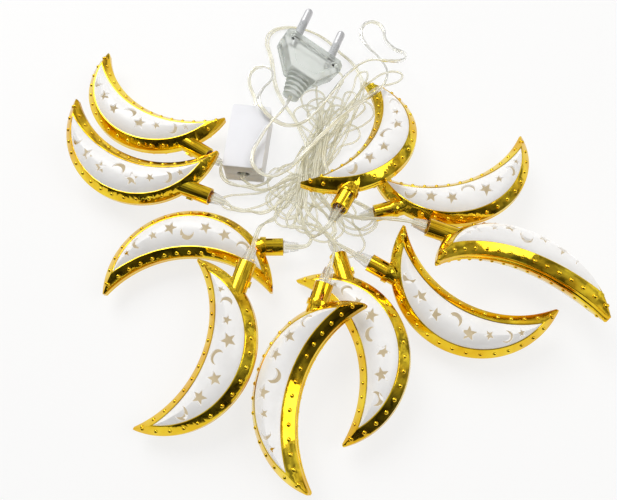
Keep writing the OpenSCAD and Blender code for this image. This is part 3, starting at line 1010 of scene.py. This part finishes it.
    def lamp_wire(self, number: int, strand: int) -> Cord:
        """One of the two strands that run from a lamp holder into the bundle.

        Args:
            number: The lamp's number.
            strand: 0 or 1.

        Returns:
            The wire.
        """
        pose = POSES[number - 1].matrix()
        across = self.strand_gap * (2 * strand - 1)
        route = [pose @ Vector((self.tail_reach + step, across - self.neck_offset, 0))
                 for step in self.TAIL_STEPS]
        drop = self.DROPS[number - 1]
        for k, point in enumerate(drop):
            phase = self.lamp_phase * number + self.knot_phase * k
            sway = Vector((math.cos(phase), math.sin(phase), 0)) * self.strand_sway * strand
            route.append(Vector(point) + sway)
        landed = Vector(drop[-1])
        along = (landed - Vector(self.hank.middle)).dot(Vector(self.hank.axis)) + self.tuck
        lane = number - (len(POSES) + 1) / 2
        tucked = Vector(self.hank.place(along, lane * self.tuck_step, self.tuck_height))
        half_way = landed.lerp(tucked, 0.5) + Vector((strand - 0.5, 0, self.tuck_rise))
        end = self.hank.place(along + self.end_run, lane * self.end_step, self.end_height)
        route += [half_way, tucked, end]
        stands_for = (self.STANDS_FOR[number],) if number in self.STANDS_FOR and strand == 0 else ()
        return Cord(f"lamp_wire_{number:02d}_{strand + 1}", route, self.wire_diameter, stands_for)

    def build(self) -> None:
        """Makes every wire."""
        self.mains_lead().build()
        self.hank.cord().build()
        for strand in (0, 1):
            self.box_lead(strand).build()
            for number in range(1, len(POSES) + 1):
                self.lamp_wire(number, strand).build()


@dataclass
class Plug:
    """The frosted two-pin plug, with sizes in millimetres and turns in degrees."""

    place: Point = PLUG_PLACE
    turn: float = PLUG_TURN
    roll: float = 26
    width: float = 31
    thickness: float = 11
    length: float = 18
    shoulder: float = 6
    tail_width: float = 13
    chamfer: float = 2
    eased_edge: float = 0.7
    relief_edge: float = 0.3
    lip: float = 2.4
    panel_depth: float = 0.6
    hole_diameter: float = 1.3
    hole_depth: float = 0.2
    hole_edge: float = 0.06
    hole_sides: int = 16
    hole_from_side: float = 4.2
    hole_from_lip: float = 2.2

    def matrix(self) -> Matrix:
        """The plug's place in metres."""
        turn = Euler((0, math.radians(self.roll), math.radians(self.turn)), "XYZ").to_matrix().to_4x4()
        return Matrix.Translation(row(self.place)) @ turn @ Matrix.Scale(MM, 4)

    def shell(self) -> None:
        """Makes the tapered body with its sunk panel on both faces."""
        w, c, t = self.width / 2, self.chamfer, self.tail_width / 2
        half = [(w - c, 0), (w, -c), (w, -self.shoulder), (t, -self.length)]
        outline = half + [(-x, y) for x, y in reversed(half)]
        shape = bmesh.new()
        base = shape.faces.new([shape.verts.new((x, y, -self.thickness / 2)) for x, y in outline])
        grown = bmesh.ops.extrude_face_region(shape, geom=[base])
        risen = [g for g in grown["geom"] if isinstance(g, bmesh.types.BMVert)]
        bmesh.ops.translate(shape, verts=risen, vec=(0, 0, self.thickness))
        bmesh.ops.recalc_face_normals(shape, faces=shape.faces)
        bmesh.ops.bevel(shape, geom=shape.edges, offset=self.eased_edge, affect="EDGES", segments=3,
                        profile=0.5, material=-1, clamp_overlap=True)
        for up in (1, -1):
            panel = max(shape.faces, key=lambda f: (round(f.normal.z * up, 2), f.calc_area()))
            bmesh.ops.inset_region(shape, faces=[panel], thickness=self.lip)
            bmesh.ops.inset_region(shape, faces=[panel], thickness=self.panel_depth)
            bmesh.ops.translate(shape, verts=panel.verts, vec=(0, 0, -up * self.panel_depth))
        bmesh.ops.transform(shape, matrix=self.matrix(), verts=shape.verts)
        piece = Piece.mesh("plug_shell", shape, PLUG, STRING, "plug")
        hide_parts("plug_body")

    def holes(self) -> None:
        """Makes two near-black discs near the ends of the panel, painted shade that stands in for the shade
        inside moulding holes.
        """
        shape = bmesh.new()
        top = self.thickness / 2 - self.panel_depth
        for side in (-1, 1):
            at = Matrix.Translation((side * (self.width / 2 - self.hole_from_side),
                                     -self.lip - self.hole_from_lip, top))
            bmesh.ops.create_cone(shape, cap_ends=True, segments=self.hole_sides,
                                  radius1=self.hole_diameter / 2, radius2=self.hole_diameter / 2,
                                  depth=self.hole_depth, matrix=at)
        rims = [e for e in shape.edges if e.calc_face_angle(0) > EASED_ANGLE]
        bmesh.ops.bevel(shape, geom=rims, offset=self.hole_edge, affect="EDGES", segments=1, profile=0.5,
                        material=-1)
        bmesh.ops.transform(shape, matrix=self.matrix(), verts=shape.verts)
        Piece.mesh("plug_holes", shape, HOLE_PAINTED_SHADE, STRING, "plug")

    def build(self) -> None:
        """Makes the shell and dresses the plug's other pieces."""
        self.shell()
        self.holes()
        Piece.eased("plug_relief", PLUG, STRING, "plug", self.relief_edge)
        Piece.dress("plug_pins", PIN_METAL)
        Piece.dress("pin_sleeves", SLEEVE)
        LOG.info("plug")


@dataclass
class DriverBox:
    """The white driver box with its board, and the lamps that it feeds."""

    eased_edge: float = 0.5

    def build(self) -> None:
        """Dresses the box, what it holds and the lamps."""
        Piece.eased("box_base", BOX, STRING, "box", self.eased_edge)
        Piece.eased("box_lid", BOX, STRING, "box", self.eased_edge)
        Piece.dress("circuit_board", BOARD)
        Piece.dress("board_parts", BOARD_PART)
        Piece.dress("led_holders", CLEAR_HOLDER)
        Piece.dress("led_diodes", DIODE)
        LOG.info("driver box")


@dataclass
class Studio:
    """The pale table, the soft light and the camera, with distances in metres."""

    aim: Point = (-0.0045, 0, 0)
    distance: float = 0.247
    elevation: float = 68.6
    lens: float = 32.44
    sensor: float = 36
    floor_size: float = 30
    floor_white: float = 0.76

    def camera(self) -> None:
        """Puts the camera at the photograph's angle."""
        data = bpy.data.cameras.new("camera")
        data.lens = self.lens
        data.sensor_width = self.sensor
        data.clip_start = 0.01
        eye = put("camera", data)
        up = math.radians(self.elevation)
        eye.location = Vector(self.aim) + self.distance * Vector((0, -math.cos(up), math.sin(up)))
        eye.rotation_euler = (math.pi / 2 - up, 0, 0)
        bpy.context.scene.camera = eye

    def floor(self) -> None:
        """Lays the pale table, which keeps the shadows."""
        shape = bmesh.new()
        bmesh.ops.create_grid(shape, x_segments=1, y_segments=1, size=self.floor_size / 2)
        data = bpy.data.meshes.new("table")
        shape.to_mesh(data)
        shape.free()
        table = put("table", data)
        data.materials.append(self.table_material())

    def table_material(self) -> bpy.types.Material:
        """A white table top that looks white to the camera, metal and glass and still takes shadows.

        Returns:
            The material.
        """
        made = bpy.data.materials.new("table_white")
        made.use_nodes = True
        tree = Tree(made.node_tree)
        shader = made.node_tree.nodes["Principled BSDF"]
        tree.fill(shader, Base_Color=(0.93, 0.92, 0.9, 1), Roughness=0.6, Specular_IOR_Level=0.2)
        glow = tree.add("ShaderNodeEmission", Color=(1, 1, 1, 1), Strength=1.0)
        path = tree.add("ShaderNodeLightPath")
        seen = tree.maths("ADD", path.outputs["Is Camera Ray"], path.outputs["Is Glossy Ray"])
        seen = tree.maths("ADD", seen, path.outputs["Is Transmission Ray"])
        share = tree.maths("MULTIPLY", tree.maths("MINIMUM", seen, 1.0), self.floor_white)
        mix = tree.add("ShaderNodeMixShader")
        out = made.node_tree.nodes["Material Output"]
        tree.join(share, mix.inputs["Fac"])
        tree.join(shader.outputs["BSDF"], mix.inputs[1])
        tree.join(glow.outputs["Emission"], mix.inputs[2])
        tree.join(mix.outputs["Shader"], out.inputs["Surface"])
        return made

    @staticmethod
    def lamp(name: str, place: Point, size: float, power: float, colour: Colour) -> None:
        """Hangs one soft light that faces the heap.

        Args:
            name: The light's name.
            place: Where it hangs, in metres.
            size: Its side in metres.
            power: Its power in watts.
            colour: Its colour.
        """
        data = bpy.data.lights.new(name, "AREA")
        data.size = size
        data.energy = power
        data.color = colour
        light = put(name, data)
        light.location = place
        light.rotation_mode = "QUATERNION"
        light.rotation_quaternion = (-Vector(place)).to_track_quat("-Z", "Y")

    def world(self) -> None:
        """A pale room that is dark towards the viewer, and plain white as a backdrop."""
        made = bpy.data.worlds.new("room")
        made.use_nodes = True
        bpy.context.scene.world = made
        tree = Tree(made.node_tree)
        place = tree.add("ShaderNodeTexCoord")
        split = tree.add("ShaderNodeSeparateXYZ")
        span = tree.add("ShaderNodeMapRange", From_Min=-0.6, From_Max=0.1, To_Min=0.05, To_Max=0.58)
        clutter = tree.add("ShaderNodeTexNoise", Scale=4.5, Detail=2.0, Roughness=0.6)
        depth = tree.add("ShaderNodeMapRange", From_Min=0.38, From_Max=0.62, To_Min=0.3, To_Max=1.6)
        path = tree.add("ShaderNodeLightPath")
        back = made.node_tree.nodes["Background"]
        tree.join(place.outputs["Generated"], split.inputs["Vector"])
        tree.join(place.outputs["Generated"], clutter.inputs["Vector"])
        tree.join(split.outputs["Y"], span.inputs["Value"])
        tree.join(clutter.outputs["Fac"], depth.inputs["Value"])
        room = tree.maths("MULTIPLY", span.outputs["Result"], depth.outputs["Result"])
        tree.join(tree.maths("MAXIMUM", room, path.outputs["Is Camera Ray"]), back.inputs["Color"])

    def build(self) -> None:
        """Sets the colours' transform and makes the floor and the light."""
        bpy.context.scene.view_settings.view_transform = "Standard"
        self.floor()
        self.world()
        self.lamp("window", place=(-0.35, 0.55, 0.75), size=0.6, power=5.6, colour=(1, 1, 1))
        self.lamp("fill", place=(0.6, -0.1, 0.7), size=0.5, power=2, colour=(1, 0.98, 0.95))


def main() -> None:
    """Builds the camera, the wires, the covers, the plug and the box, and the table with its light."""
    logging.basicConfig(level=logging.INFO, format="%(message)s")
    studio = Studio()
    studio.camera()
    Wiring().build()
    for number, pose in enumerate(POSES, 1):
        MoonCover(number, pose).build()
    Plug().build()
    DriverBox().build()
    studio.build()


if __name__ == "__main__":
    main()
